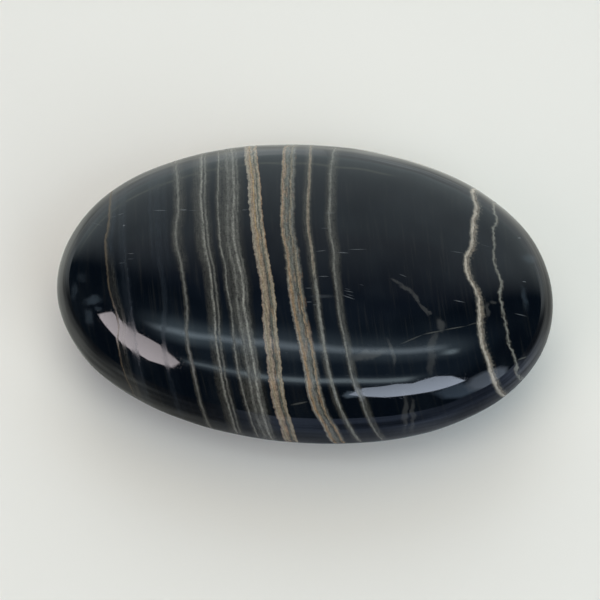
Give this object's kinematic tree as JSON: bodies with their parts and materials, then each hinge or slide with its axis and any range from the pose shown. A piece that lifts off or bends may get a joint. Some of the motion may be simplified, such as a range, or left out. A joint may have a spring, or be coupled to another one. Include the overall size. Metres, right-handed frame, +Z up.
{
  "type": "palm stone",
  "caption": "Polished oval palm stone of banded dark rock, shaped to sit in a closed hand and to rest on a small flat spot.",
  "frame": {"origin": "on the surface that the stone rests on, under the centre of its box", "axes": "+X along the stone towards its slightly blunter end, +Z up through its thickness"},
  "size_m": [0.0666, 0.0434, 0.021],
  "materials": {
    "banded_stone": "hand-polished gloss, black-grey with thin tan and grey bands"
  },
  "bodies": {
    "root": {"palm_stone": "banded_stone"}
  },
  "joints": []
}
